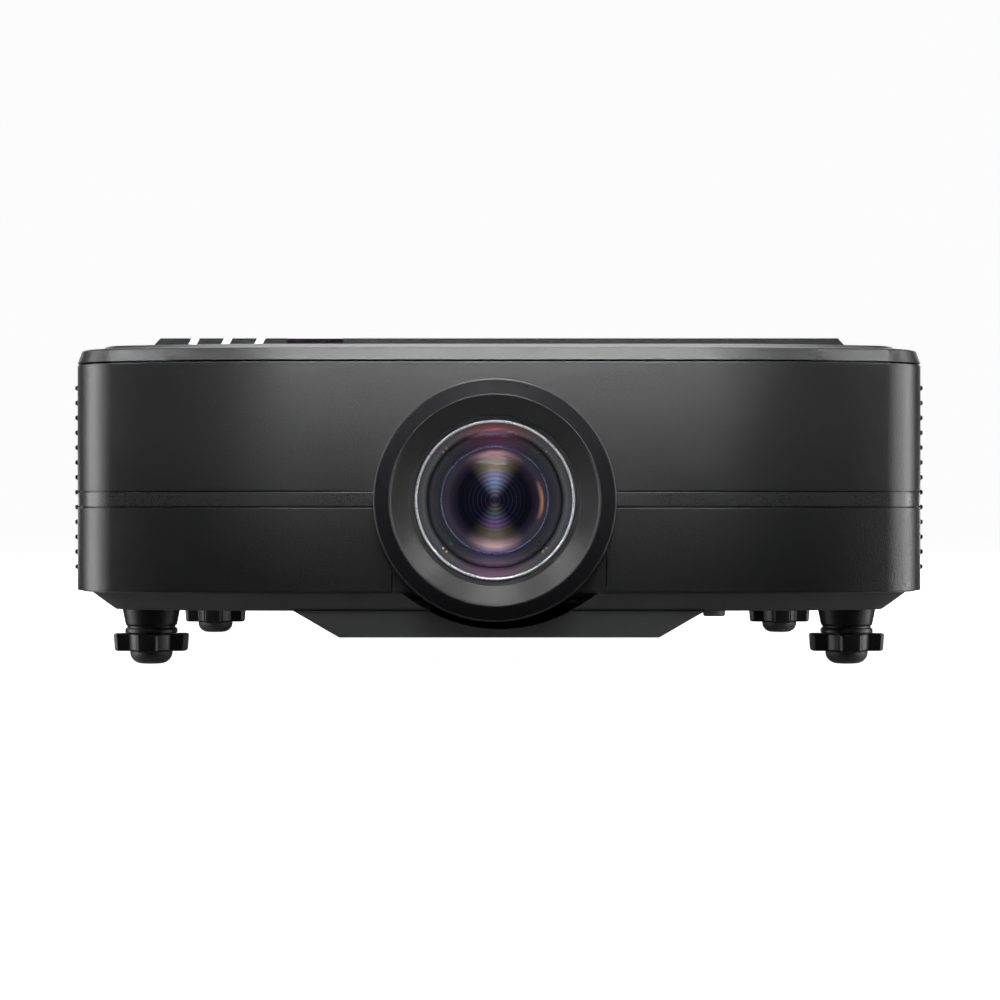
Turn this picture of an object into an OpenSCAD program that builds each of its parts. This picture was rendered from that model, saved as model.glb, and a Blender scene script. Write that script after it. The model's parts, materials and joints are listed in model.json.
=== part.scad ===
// Installation projector with a motorised shifting zoom lens, laser light engine, cooling and levelling feet.
// Millimetres. +Z is up, the lens looks along -Y, and the feet stand on z = 0.

/* [Case] */
// Width across the plain side walls
case_w = 484; // [476:1:492]
// Depth from the flat of the front panel to the back of the case
case_d = 506; // [500:1:520]
// Thickness of the moulded covers
wall_t = 3; // [2.6:0.2:3.2]
// Half-width of the flat middle of the front
flat_half = 115; // [105:1:120]
// Radius of the shallow bow towards each front corner
bow_r = 300; // [280:5:330]
// Radius of the front corners
corner_r = 37; // [34:1:40]
// Radius of the rear corners
rear_r = 24; // [23:1:28]
// How far back the front panel wraps round the sides
wrap_d = 60; // [56:1:64]

/* [Levels] */
// Underside of the bottom pan
pan_z = 31.8; // [31:0.2:33]
// Seam between the bottom pan and the case walls
low_seam_z = 42.2; // [41.6:0.2:43]
// Seam between the case walls and the top cover
high_seam_z = 172; // [171:0.2:173]
// Height of the rounded edge of the top cover
lip_z = 179.8; // [179:0.2:180.4]
// Height of the crown of the top cover
crown_z = 182.1; // [181.6:0.1:182.4]
// Full height, at the top of the deck plate
top_z = 186; // [185:0.2:187]

/* [Front] */
// Middle height of the trim band across the front
belt_z = 94.7; // [92:0.1:97]
// Height of the trim band
belt_h = 8; // [7:0.5:9]
// Half-width of the plate under the lens
surround_half = 59.3; // [59:0.1:61]
// Number of louvres on each side
louvres = 13; // [9:1:14]
// Distance between louvres
louvre_pitch = 8.59; // [8:0.01:8.8]
// How far each louvre stands out from the wall
louvre_out = 3; // [2:0.5:3]
// Width of one status light guide
guide_w = 4.6; // [4:0.2:5]

/* [Hump] */
// Underside of the hump below the lens
hump_z = 16.9; // [16.5:0.1:18]
// Half-width of the hump where it meets the pan
hump_half = 116; // [110:1:118]
// Radius of the arc cut away below the lens
arc_r = 83.2; // [82:0.2:84]

/* [Lens] */
// Lens axis at rest, across
lens_x = -2.5; // [-4:0.5:4]
// Lens axis at rest, height
lens_z = 94.3; // [93:0.1:96]
// Outer radius of the cowl round the lens
cowl_r = 67.1; // [67:0.1:68]
// How far the cowl stands out from the front panel
cowl_out = 14; // [12:0.5:15]
// Radius of the mouth of the cowl
mouth_r = 57.2; // [56:0.2:59]
// Radius of the front glass
glass_r = 43; // [42:0.2:43]
// Radius of the hole in the front for the lens
lens_hole_r = 57; // [56.8:0.1:57.2]
// Radius of the running surface of the barrel
barrel_r = 42; // [41:0.5:42]

/* [Gears] */
// Tooth size of the lens gears
gear_module = 1.5; // [1.5]
// Teeth on the focus ring and on the zoom ring
ring_teeth = 64; // [64]
// Teeth on each motor pinion
pinion_teeth = 10; // [10]

/* [Feet] */
// Distance of the feet from the middle, across
foot_x = 200.9; // [198:0.1:202]
// Front feet, behind the flat of the front panel
foot_front = 60; // [56:1:64]
// Distance between front and rear feet
foot_span = 352; // [340:1:356]
// Radius of the knob at its top
knob_r = 21.95; // [20:0.05:22]
// Radius of the threaded stud
stud_r = 4; // [3:0.5:4]

/* [Mounting] */
// Distance between mounting inserts, across
insert_dx = 300; // [280:5:310]
// Distance between mounting inserts, front to back
insert_dy = 220; // [200:5:230]
// Middle of the mounting inserts, front to back
insert_y = 30; // [20:1:40]
// Radius of the bore of a mounting insert, for an M6 screw
insert_bore_r = 3; // [2.5:0.5:3]

/* [Cooling] */
// Side of the square fan frame
fan_side = 120; // [120]
// Number of blades on a fan
fan_blades = 7; // [5:1:9]

/* [Hidden] */
$fn = 96;

half_w = case_w / 2;
front_y = -(case_d + cowl_out) / 2 + cowl_out;
rear_y = (case_d + cowl_out) / 2;
join_y = front_y + wrap_d;
// Turn of the bow that leads into the corner arc without a kink
bow_turn = asin((half_w - corner_r - flat_half) / (bow_r - corner_r));
seam = 0.7;
wall_low_z = low_seam_z + seam;
wall_high_z = high_seam_z - seam / 2;

// Colours
BLACK = "#2c2c2d";
DEEP = "#19191a";
TRIM = "#252526";
PAN = "#38383a";
GLOSS = "#0b0b0d";
STEEL = "#b9bcc0";
ALLOY = "#8d9095";
BRASS = "#b08d4a";
BOARD = "#1f5a3c";
WHITE = "#f2f2f2";

// Points of an arc round c, leaving out the ones before step "first"
function arc(c, r, a0, a1, n, first = 0) =
    [for (i = [first:n]) let (a = a0 + (a1 - a0) * i / n) c + r * [cos(a), sin(a)]];

// Right half of the plan of the case, drawn in by d all round
function plan_half(d) = concat(
    arc([flat_half, front_y + bow_r], bow_r - d, -90, -90 + bow_turn, 8),
    arc([half_w - corner_r, front_y + bow_r - (bow_r - corner_r) * cos(bow_turn)],
        corner_r - d, -90 + bow_turn, 0, 10, 1),
    arc([half_w - rear_r, rear_y - rear_r], rear_r - d, 0, 90, 6));
function plan(d) = let (p = plan_half(d), n = len(p))
    concat(p, [for (i = [n - 1:-1:0]) [-p[i][0], p[i][1]]]);

// Solid with the plan of the case, through levels [inset, height] from the bottom up
module loft(levels) {
    n = len(plan(0));
    m = len(levels);
    points = [for (v = levels) for (p = plan(v[0])) [p[0], p[1], v[1]]];
    sides = [for (k = [0:m - 2]) for (i = [0:n - 1]) let (j = (i + 1) % n)
        [k * n + i, (k + 1) * n + i, (k + 1) * n + j, k * n + j]];
    polyhedron(points, concat(sides, [[for (i = [0:n - 1]) i]], [[for (i = [n - 1:-1:0]) (m - 1) * n + i]]),
        convexity = 4);
}

// Upright wall between two insets of the plan
module plan_wall(outer, inner, z0, z1) {
    translate([0, 0, z0]) linear_extrude(z1 - z0, convexity = 4) difference() {
        polygon(plan(outer));
        polygon(plan(inner));
    }
}

// Box from its lowest corner to its highest corner
module span(a, b) {
    translate(a) cube(b - a);
}

// Frame whose Z axis runs back along Y, at (x, z)
module facing(x, z) {
    translate([x, 0, z]) rotate([-90, 0, 0]) children();
}

// Round bar along Y from y0 to y1
module bar_y(x, z, r, y0, y1) {
    facing(x, z) translate([0, 0, y0]) cylinder(r = r, h = y1 - y0);
}

// Round bar along X from x0 to x1
module bar_x(y, z, r, x0, x1) {
    translate([x0, y, z]) rotate([0, 90, 0]) cylinder(r = r, h = x1 - x0);
}

// Round bar along Z from z0 to z1
module bar_z(x, y, r, z0, z1) {
    translate([x, y, z0]) cylinder(r = r, h = z1 - z0);
}

// Copy to both sides of the middle
module both_sides() {
    children();
    mirror([1, 0, 0]) children();
}

// Round legs from the floor of the pan up to height z1
module legs(places, z1) {
    for (p = places) bar_z(p[0], p[1], 4, pan_z + pan_t + 0.1, z1);
}

// ---- Feet: positions shared by the pan, the bosses and the knobs
foot_yf = front_y + foot_front;
foot_yr = foot_yf + foot_span;
FEET = [[-foot_x, foot_yf], [foot_x, foot_yf], [-foot_x, foot_yr], [foot_x, foot_yr]];
boss_low_z = 17.7;
knob_top_z = boss_low_z - 0.4;
knob_low_z = 7.3;
knob_core_r = 13.4;
wing_w = 13;
pad_flat_r = 5;
pad_top_z = 7;
pin_r = 3;
pin_top_z = 13;
stud_top_z = 58;
sleeve_r = 9;
sleeve_top_z = 62;
fit = 0.05;

// ---- Bottom pan and hump
pan_t = 2.5;
pan_bottom_inset = half_w - 220.5;
pan_top_inset = half_w - 234.3;
flange_top_z = low_seam_z + 2.4;
arc_z = 105;
arc_depth_y = front_y + 76;
plug_x = 124;
plug_y = front_y + 56;
plug_r = 6.4;
plug_low_z = 27.4;
INSERTS = [for (sx = [-1, 1]) for (sy = [-1, 1]) [sx * insert_dx / 2, insert_y + sy * insert_dy / 2]];
insert_r = 6;
SCREWS = [for (sx = [-1, 1]) for (p = [[188, -110], [188, 40], [186, 215], [70, 232]]) [sx * p[0], p[1]]];
screw_r = 1.8;
screw_head_r = 3.5;

module lens_arc(extra) {
    bar_y(0.3, arc_z, arc_r + extra, front_y - 20, arc_depth_y);
}

module bottom_pan() {
    color(PAN) difference() {
        union() {
            loft([[pan_bottom_inset, pan_z], [pan_top_inset, low_seam_z]]);
            translate([0, 0, low_seam_z - 0.3]) linear_extrude(flange_top_z - low_seam_z + 0.3)
                polygon(plan(wall_t + 0.3));
        }
        loft([[pan_bottom_inset + pan_t, pan_z + pan_t], [pan_top_inset + pan_t, flange_top_z + 1]]);
        lens_arc(0);
        for (p = FEET) bar_z(p[0], p[1], sleeve_r + 0.2, pan_z - 1, pan_z + pan_t + 1);
        for (p = INSERTS) bar_z(p[0], p[1], insert_r + 0.1, pan_z - 1, pan_z + pan_t + 1);
        for (p = SCREWS) bar_z(p[0], p[1], screw_r + 0.2, pan_z - 1, pan_z + pan_t + 1);
        bar_z(plug_x, plug_y, 3.2, pan_z - 1, pan_z + pan_t + 1);
    }
}

hump_y0 = front_y + 20;
hump_y1 = front_y + 150;
hump_foot = 26;

module hump_profile(t) {
    polygon([[-hump_half + t, pan_z - 0.05], [-hump_half + hump_foot + t * 0.7, hump_z + t],
        [hump_half - hump_foot - t * 0.7, hump_z + t], [hump_half - t, pan_z - 0.05]]);
}

module lens_hump() {
    color(PAN) difference() {
        translate([0, hump_y1, 0]) rotate([90, 0, 0]) linear_extrude(hump_y1 - hump_y0) hump_profile(0);
        translate([0, hump_y1 - pan_t, 0.1]) rotate([90, 0, 0])
            linear_extrude(hump_y1 - hump_y0 - 2 * pan_t) hump_profile(pan_t);
        lens_arc(0.2);
    }
}

module foot_boss(p) {
    translate([p[0], p[1], 0]) rotate_extrude() polygon([
        [stud_r + fit, boss_low_z], [15.05, boss_low_z], [15.05, 20.2], [13.9, 20.6], [13.9, 21.6],
        [14.7, 22], [16.6, pan_z - 0.05], [sleeve_r, pan_z - 0.05], [sleeve_r, sleeve_top_z],
        [stud_r + fit, sleeve_top_z]]);
}

module foot_bosses() {
    color(DEEP) for (p = FEET) foot_boss(p);
}

// Knob with four wings, cut to a slightly tapered round, and its stud
module foot_knob(p) {
    color(DEEP) translate([p[0], p[1], 0]) difference() {
        union() {
            intersection() {
                translate([0, 0, knob_low_z])
                    cylinder(r1 = knob_r - 1.4, r2 = knob_r, h = knob_top_z - knob_low_z);
                union() {
                    bar_z(0, 0, knob_core_r, knob_low_z - 1, knob_top_z + 1);
                    for (a = [0, 90]) rotate(a)
                        span([-knob_r - 1, -wing_w / 2, knob_low_z - 1],
                            [knob_r + 1, wing_w / 2, knob_top_z + 1]);
                }
            }
            bar_z(0, 0, stud_r, knob_top_z - 1, stud_top_z);
        }
        bar_z(0, 0, pin_r + fit, knob_low_z - 1, pin_top_z + 0.5);
    }
}

// Domed rubber foot with a pivot pin up into the knob
module foot_pad(p) {
    color(GLOSS) translate([p[0], p[1], 0]) rotate_extrude() polygon(concat(
        [[0, 0], [pad_flat_r, 0]],
        arc([5.6, 6.6], 6.6, -88, -8, 8),
        [[12.25, pad_top_z], [pin_r, pad_top_z], [pin_r, pin_top_z], [0, pin_top_z]]));
}

module foot_pad_fl() { foot_pad(FEET[0]); }
module foot_knob_fl() { foot_knob(FEET[0]); }
module foot_pad_fr() { foot_pad(FEET[1]); }
module foot_knob_fr() { foot_knob(FEET[1]); }
module foot_pad_rl() { foot_pad(FEET[2]); }
module foot_knob_rl() { foot_knob(FEET[2]); }
module foot_pad_rr() { foot_pad(FEET[3]); }
module foot_knob_rr() { foot_knob(FEET[3]); }

module pan_plug() {
    color(STEEL) translate([plug_x, plug_y, 0]) {
        translate([0, 0, plug_low_z]) cylinder(r1 = plug_r - 0.6, r2 = plug_r, h = 1);
        translate([0, 0, plug_low_z + 0.95]) cylinder(r = plug_r, h = pan_z - plug_low_z - 1);
        bar_z(0, 0, 3, pan_z - 0.6, pan_z + 5);
    }
}

module mount_inserts() {
    color(BRASS) for (p = INSERTS) difference() {
        bar_z(p[0], p[1], insert_r, pan_z, 44);
        bar_z(p[0], p[1], insert_bore_r, pan_z - 1, 43);
    }
}

module case_screws() {
    color(STEEL) for (p = SCREWS) {
        bar_z(p[0], p[1], screw_head_r, pan_z - 1.8, pan_z - 0.05);
        bar_z(p[0], p[1], screw_r, pan_z - 0.1, pan_z + 9);
    }
}

// ---- Case walls
hole_z = 95;
belt_gap = 0.6;
belt_depth = 1.6;
surround_top_z = 118;

module front_zone() {
    span([-half_w - 5, front_y - 5, 0], [half_w + 5, join_y - 0.2, 200]);
}

module front_panel() {
    color(BLACK) difference() {
        intersection() {
            plan_wall(0, wall_t, wall_low_z, wall_high_z);
            front_zone();
        }
        plan_wall(-2, belt_depth, belt_z - belt_h / 2 - belt_gap, belt_z + belt_h / 2 + belt_gap);
        bar_y(0, hole_z, lens_hole_r, front_y - 5, front_y + 9);
        span([-surround_half - 0.4, front_y - 5, 30],
            [surround_half + 0.4, front_y + 9, surround_top_z + 0.4]);
    }
}

module belt_trim() {
    color(TRIM) difference() {
        intersection() {
            plan_wall(0.1, belt_depth - 0.1, belt_z - belt_h / 2, belt_z + belt_h / 2);
            front_zone();
        }
        span([-surround_half - 1, front_y - 5, 30], [surround_half + 1, front_y + 9, 150]);
    }
}

// Plate under the lens, with an arch that closes the hole below the edge of the front panel
module lens_surround() {
    color(BLACK) difference() {
        union() {
            span([-surround_half, front_y + 0.05, wall_low_z],
                [surround_half, front_y + wall_t, surround_top_z]);
            intersection() {
                bar_y(0, hole_z, lens_hole_r + 4, front_y + 0.05, front_y + wall_t);
                span([-surround_half, front_y - 1, 30], [surround_half, front_y + 9, wall_low_z + 1]);
            }
        }
        bar_y(0, hole_z, lens_hole_r, front_y - 5, front_y + 9);
    }
}

rim_in = wall_t + 0.3;
rim_low_z = 167;

module top_cover() {
    color(BLACK) union() {
        difference() {
            loft([[0, high_seam_z + 0.2], [1.3, lip_z - 1.6], [1.9, lip_z - 0.7], [2.9, lip_z - 0.2],
                [4.4, lip_z], [13.4, lip_z], [half_w - 225.7, crown_z]]);
            loft([[wall_t, high_seam_z], [wall_t + 2, lip_z - wall_t]]);
        }
        plan_wall(rim_in, rim_in + 2, rim_low_z, lip_z - wall_t + 0.5);
    }
}

deck_half = 195.5;
deck_slope = 3.5;
deck_y0 = front_y + 30;
deck_y1 = rear_y - 28;
deck_base_z = crown_z + 0.05;
GUIDES = [-173, -154.5, -135.8];
IR_SPAN = [-120, -88.6];
notch_d = 7;

// Slanted outline of one light guide, as seen from the front
module guide_outline(x, extra) {
    lean = 1.1;
    w = guide_w / 2 + extra;
    polygon([[x - w - lean, deck_base_z - extra], [x + w - lean, deck_base_z - extra],
        [x + w + lean, top_z + extra], [x - w + lean, top_z + extra]]);
}

module guide_bar(x, extra, y0, y1) {
    translate([0, y1, 0]) rotate([90, 0, 0]) linear_extrude(y1 - y0) guide_outline(x, extra);
}

module deck_plate() {
    color(DEEP) difference() {
        intersection() {
            translate([0, deck_y1, 0]) rotate([90, 0, 0]) linear_extrude(deck_y1 - deck_y0)
                polygon([[-deck_half, deck_base_z], [deck_half, deck_base_z],
                    [deck_half - deck_slope, top_z], [-deck_half + deck_slope, top_z]]);
            rotate([90, 0, 90]) translate([0, 0, -half_w]) linear_extrude(case_w)
                polygon([[deck_y0, deck_base_z - 1], [deck_y1, deck_base_z - 1],
                    [deck_y1 - deck_slope, top_z + 0.1], [deck_y0 + 0.8, top_z + 0.1]]);
        }
        for (x = GUIDES) guide_bar(x, 0.15, deck_y0 - 2, deck_y0 + notch_d + 0.15);
        span([IR_SPAN[0] - 0.15, deck_y0 - 2, 170], [IR_SPAN[1] + 0.15, deck_y0 + notch_d + 0.15, 200]);
    }
}

module status_guides() {
    color(WHITE) for (x = GUIDES) guide_bar(x, 0, deck_y0 + 0.1, deck_y0 + notch_d);
}

module front_ir_window() {
    color(GLOSS) span([IR_SPAN[0], deck_y0 + 0.1, deck_base_z], [IR_SPAN[1], deck_y0 + notch_d, top_z - 0.2]);
}

louvre_y1 = rear_y - 60;
louvre_low_z = 56.1;
slot_y0 = join_y + 22;
slot_bay = 62;
slot_rib = 4;
slot_count = 5;
slot_z = louvre_low_z + 2.2;
slot_h = louvre_pitch - 5.3;

// Section of one louvre; its underside and top slope back to the wall
module louvre_profile() {
    tip = 1 + louvre_out;
    polygon([[0, -2.8], [1, -2.6], [tip, -1.2], [tip, 0.8], [1, 1.8], [0, 2]]);
}

// Right side wall with its louvres and the air slots between them
module side_cover() {
    difference() {
        union() {
            intersection() {
                plan_wall(0, wall_t, wall_low_z, wall_high_z);
                span([half_w - rear_r - 2, join_y + 0.2, 0], [half_w + 5, rear_y + 5, 200]);
            }
            for (k = [0:louvres - 1])
                translate([half_w - 1, louvre_y1, louvre_low_z + k * louvre_pitch]) rotate([90, 0, 0])
                    linear_extrude(louvre_y1 - join_y - 0.2) louvre_profile();
        }
        for (k = [0:louvres - 2]) for (b = [0:slot_count - 1])
            translate([half_w - wall_t - 2, slot_y0 + b * (slot_bay + slot_rib), slot_z + k * louvre_pitch])
                cube([wall_t + 9, slot_bay, slot_h]);
    }
}

module side_cover_right() {
    color(BLACK) side_cover();
}

module side_cover_left() {
    color(BLACK) mirror([1, 0, 0]) side_cover();
}

// ---- Rear panel and what it carries
rear_face_y = rear_y - 2;
rear_t = 2.5;
port_y = rear_y - 0.8;
ROW1 = [42.5, 141.5];
ROW2 = [41, 157];
row1_z = 75;
row2_z = 104;
port_h = 17;
PAD = [-62, 2, 68, 112];
INLET = [-200, -136, 63, 95];
LOCK = [-120, -84, 128, 152];

// Window through the rear panel, as [x0, x1, z0, z1] grown by g
module rear_window(w, g) {
    span([w[0] - g, rear_face_y - rear_t - 1, w[2] - g], [w[1] + g, rear_face_y + 1, w[3] + g]);
}

module rear_panel() {
    color(BLACK) difference() {
        span([-half_w + rear_r + 2.3, rear_face_y - rear_t, wall_low_z],
            [half_w - rear_r - 2.3, rear_face_y, wall_high_z]);
        rear_window([ROW1[0], ROW1[1], row1_z - port_h / 2, row1_z + port_h / 2], 0.2);
        rear_window([ROW2[0], ROW2[1], row2_z - port_h / 2, row2_z + port_h / 2], 0.2);
        rear_window(PAD, 0.2);
        rear_window(INLET, 0.2);
        rear_window(LOCK, 0.2);
        // thinner lips outside the flange of the pan and the rim of the top cover
        for (z = [[0, flange_top_z + 0.1], [rim_low_z - 0.1, 200]])
            span([-half_w, rear_face_y - rear_t - 1, z[0]], [half_w, rear_y - rim_in + 0.1, z[1]]);
    }
}

// Connector block at x, with a mouth of the given size and depth, facing back
module port(x, z, w, mouth_w, mouth_h, mouth_d, depth) {
    difference() {
        span([x - w / 2, port_y - depth, z - port_h / 2], [x + w / 2, port_y, z + port_h / 2]);
        span([x - mouth_w / 2, port_y - mouth_d, z - mouth_h / 2],
            [x + mouth_w / 2, port_y + 1, z + mouth_h / 2]);
    }
}

// Contact tongue inside a connector
module tongue(x, z, w, mouth_d) {
    span([x - w / 2, port_y - mouth_d - 0.5, z - 0.9], [x + w / 2, port_y - 2, z + 0.9]);
}

module video_ports() {
    color(ALLOY) for (x = [91, 111, 131]) {
        port(x, row1_z, 19.4, 14.4, 5.4, 11, 14);
        tongue(x, row1_z, 11, 11);
    }
}

// D-shaped connector with its two jack screws
module d_port(x) {
    difference() {
        span([x - 18.5, port_y - 9, row2_z - port_h / 2], [x + 18.5, port_y - 1.5, row2_z + port_h / 2]);
        for (s = [-1, 1]) bar_y(x + s * 12.5, row2_z, 1.4, port_y - 8, port_y);
    }
    facing(x, row2_z) translate([0, 0, port_y - 2]) linear_extrude(2)
        polygon([[-9, -4.2], [9, -4.2], [7.6, 4.2], [-7.6, 4.2]]);
}

module jack(x) {
    difference() {
        span([x - 6, port_y - 14, row2_z - port_h / 2], [x + 6, port_y - 1.2, row2_z + port_h / 2]);
        bar_y(x, row2_z, 1.8, port_y - 12, port_y);
    }
}

module data_ports() {
    color(ALLOY) {
        for (x = [52, 71]) port(x, row1_z, 17.4, 12, 8.5, 14, 18);
        for (x = [60, 98]) d_port(x);
        for (x = [124.5, 137.2, 149.9]) jack(x);
    }
}

socket_x = -182;
socket_z = 79;
rocker_x = -149;
rocker_y = rear_y - 6;
rocker_tilt = 8;

// Mains inlet and the frame of the switch, moulded together
module power_inlet() {
    color(DEEP) {
        difference() {
            span([INLET[0], rear_y - 24, INLET[2]], [INLET[1], rear_y - 0.6, INLET[3]]);
            span([socket_x - 12.5, rear_y - 17, socket_z - 8.5], [socket_x + 12.5, rear_y, socket_z + 8.5]);
            span([rocker_x - 10.5, rear_y - 14, socket_z - 7], [rocker_x + 10.5, rear_y, socket_z + 7]);
            bar_z(rocker_x, rocker_y, 1.5 + fit, socket_z - 9, socket_z + 9);
        }
        for (p = [[-7, -3], [0, 1], [7, -3]])
            span([socket_x + p[0] - 1, rear_y - 18, socket_z + p[1] - 2],
                [socket_x + p[0] + 1, rear_y - 4, socket_z + p[1] + 2]);
    }
}

module switch_rocker() {
    color(GLOSS) translate([rocker_x, rocker_y, socket_z]) rotate(-rocker_tilt) {
        translate([0, 0, -6.6]) linear_extrude(13.2)
            polygon([[-9.4, -5], [9.4, -5], [9.4, 4.3], [0, 2.6], [-9.4, 4.3]]);
        bar_z(0, 0, 1.5, -8.6, 8.6);
    }
}

BUTTON_X = [-46, -30, -14];
button_r = 4.8;
button_z = 90;

module keypad_bezel() {
    color(TRIM) difference() {
        span([PAD[0], rear_face_y - rear_t, PAD[2]], [PAD[1], port_y, PAD[3]]);
        for (x = BUTTON_X) bar_y(x, button_z, button_r + 0.3, rear_face_y - 9, rear_y + 1);
    }
}

module push_button(x) {
    color(PAN) {
        bar_y(x, button_z, button_r, rear_y - 10, rear_y - 0.1);
        bar_y(x, button_z, button_r + 1.6, rear_y - 10.5, rear_y - 9);
    }
}

module power_button() { push_button(BUTTON_X[0]); }
module menu_button() { push_button(BUTTON_X[1]); }
module enter_button() { push_button(BUTTON_X[2]); }

// Pocket with an upright steel bar for a security chain
module security_bar() {
    color(STEEL) {
        difference() {
            span([LOCK[0], rear_y - 26, LOCK[2]], [LOCK[1], rear_face_y, LOCK[3]]);
            span([LOCK[0] + 1.5, rear_y - 24.5, LOCK[2] + 1.5], [LOCK[1] - 1.5, rear_y, LOCK[3] - 1.5]);
        }
        bar_z((LOCK[0] + LOCK[1]) / 2, rear_y - 8, 3, LOCK[2] + 0.5, LOCK[3] - 0.5);
    }
}

// ---- Lens
module turned(points) {
    facing(lens_x, lens_z) rotate_extrude() polygon(points);
}

cowl_y0 = front_y - cowl_out;
cowl_y1 = front_y - 0.6;
sleeve_in = 45.4;
sleeve_out = 46.6;
barrel_y0 = front_y - 1;
head_y1 = front_y + 13;
flange_y0 = front_y + 112;
flange_y1 = flange_y0 + 4;
snout_y1 = front_y + 156;
snout_r = 22;

module lens_cowl() {
    color(BLACK) turned([
        [sleeve_out, cowl_y1 + 6], [sleeve_in, cowl_y1 + 6], [sleeve_in, cowl_y1], [45.7, barrel_y0],
        [mouth_r, cowl_y0 + 0.6], [mouth_r + 0.6, cowl_y0], [mouth_r + 2.2, cowl_y0],
        [cowl_r - 0.7, cowl_y0 + 2.5], [cowl_r, cowl_y0 + 3.4], [cowl_r, cowl_y1], [sleeve_out, cowl_y1]]);
}

module lens_barrel() {
    color(DEEP) turned([
        [44.65, barrel_y0], [45.3, barrel_y0], [45.3, head_y1], [barrel_r, head_y1],
        [barrel_r, flange_y0], [46, flange_y0], [46, flange_y1], [snout_r, flange_y1],
        [snout_r, snout_y1], [19, snout_y1], [19, flange_y0 - 2], [38.6, flange_y0 - 2],
        [38.6, front_y + 11], [glass_r + 0.1, front_y + 11], [glass_r + 0.1, front_y + 2.2],
        [44.65, front_y + 2.2]]);
}

glass_front_y = front_y - 2.3;
glass_sphere_r = 150;

module front_element() {
    color("#3b3f63") intersection() {
        translate([lens_x, glass_front_y + glass_sphere_r, lens_z]) sphere(r = glass_sphere_r, $fn = 400);
        facing(lens_x, lens_z) translate([0, 0, front_y - 6]) cylinder(r = glass_r, h = 16.7, $fn = 400);
    }
}

module element_retainer() {
    color(STEEL) turned([[44.6, front_y - 1.6], [44.6, front_y + 2.1], [42.9, front_y + 2.1],
        [42.9, front_y - 1.2], [43.4, front_y - 1.6]]);
}

module light_baffle() {
    color(DEEP) difference() {
        turned([[30.2, front_y + 14], [38.5, front_y + 14], [38.5, front_y + 16], [30.2, front_y + 16]]);
        for (a = [45:90:315]) facing(lens_x, lens_z) rotate(a) translate([34.6, 0, front_y + 13])
            cylinder(r = 1.1, h = 4, $fn = 24);
    }
}

// ---- Lens drives
pitch_ring = ring_teeth * gear_module / 2;
pitch_pinion = pinion_teeth * gear_module / 2;
gear_centres = pitch_ring + pitch_pinion + 0.1;
FOCUS_Y = [front_y + 32, front_y + 46];
ZOOM_Y = [front_y + 62, front_y + 76];
FOCUS_A = 135;
ZOOM_A = 45;
motor_r = 9;

// One gear tooth: [part of the tooth spacing, modules out from the pitch circle]
TOOTH = [[-0.27, -1.25], [-0.1, 0.8], [0.1, 0.8], [0.27, -1.25]];

// Outline of a gear with straight-sided teeth, one tooth centred on angle a
function gear(n, r, a) = [for (i = [0:n - 1]) for (k = TOOTH)
    let (t = a + (i + k[0]) * 360 / n, q = r + k[1] * gear_module) q * [cos(t), sin(t)]];

function motor_at(a) = [lens_x + gear_centres * cos(a), lens_z + gear_centres * sin(a)];

// Geared ring that turns on the barrel; angles run the way the X and Z axes do
module geared_ring(ys, a) {
    difference() {
        translate([lens_x, ys[1], lens_z]) rotate([90, 0, 0]) linear_extrude(ys[1] - ys[0], convexity = 4)
            polygon(gear(ring_teeth, pitch_ring, a));
        bar_y(lens_x, lens_z, barrel_r + 0.08, ys[0] - 1, ys[1] + 1);
    }
}

module focus_ring() {
    color(TRIM) geared_ring(FOCUS_Y, FOCUS_A);
}

module zoom_ring() {
    color(TRIM) geared_ring(ZOOM_Y, ZOOM_A);
}

// Pinion with its shaft; the shaft reaches from s0 to s1
module pinion(ys, a, s0, s1) {
    p = motor_at(a);
    translate([p[0], ys[1] - 1, p[1]]) rotate([90, 0, 0]) linear_extrude(ys[1] - ys[0] - 2)
        polygon(gear(pinion_teeth, pitch_pinion, a + 180 + 180 / pinion_teeth));
    bar_y(p[0], p[1], 1.5, s0, s1);
}

module focus_pinion() {
    color(BRASS) pinion(FOCUS_Y, FOCUS_A, FOCUS_Y[0] - 8, FOCUS_Y[1] - 1.5);
}

module zoom_pinion() {
    color(BRASS) pinion(ZOOM_Y, ZOOM_A, ZOOM_Y[0] + 1.5, ZOOM_Y[1] + 8);
}

// Motor beside the barrel, with the bracket that holds it
module ring_motor(a, y0, y1, bore_y0, bore_y1) {
    p = motor_at(a);
    difference() {
        union() {
            bar_y(p[0], p[1], motor_r, y0, y1);
            translate([lens_x, 0, lens_z]) rotate([0, -a, 0])
                span([barrel_r + 0.1, y0 + 7.5, -6], [gear_centres, y1 - 5, 6]);
        }
        bar_y(p[0], p[1], 1.5 + fit, bore_y0, bore_y1);
        bar_y(lens_x, lens_z, barrel_r + 0.1, y0 - 1, y1 + 1);
    }
}

module ring_motors() {
    color(ALLOY) {
        ring_motor(FOCUS_A, FOCUS_Y[0] - 25, FOCUS_Y[0] - 1.5, FOCUS_Y[0] - 9, FOCUS_Y[0]);
        ring_motor(ZOOM_A, ZOOM_Y[1] + 1.5, ZOOM_Y[1] + 26, ZOOM_Y[1], ZOOM_Y[1] + 9);
    }
}

// ---- Lens shift
h_plate_y = [flange_y1 + 0.1, flange_y1 + 6];
h_rod_y = front_y + 128;
h_rod_dz = 38;
v_plate_y = [front_y + 138, front_y + 144];
v_rod_y = front_y + 141;
v_rod_x = 96;
base_plate_y = [front_y + 152, front_y + 158];
rod_r = 4;
lead_r = 3;
v_lead_x = 118;
h_lead_dz = 27;
base_z = [35.5, 41.5, 152, 158];

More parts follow.
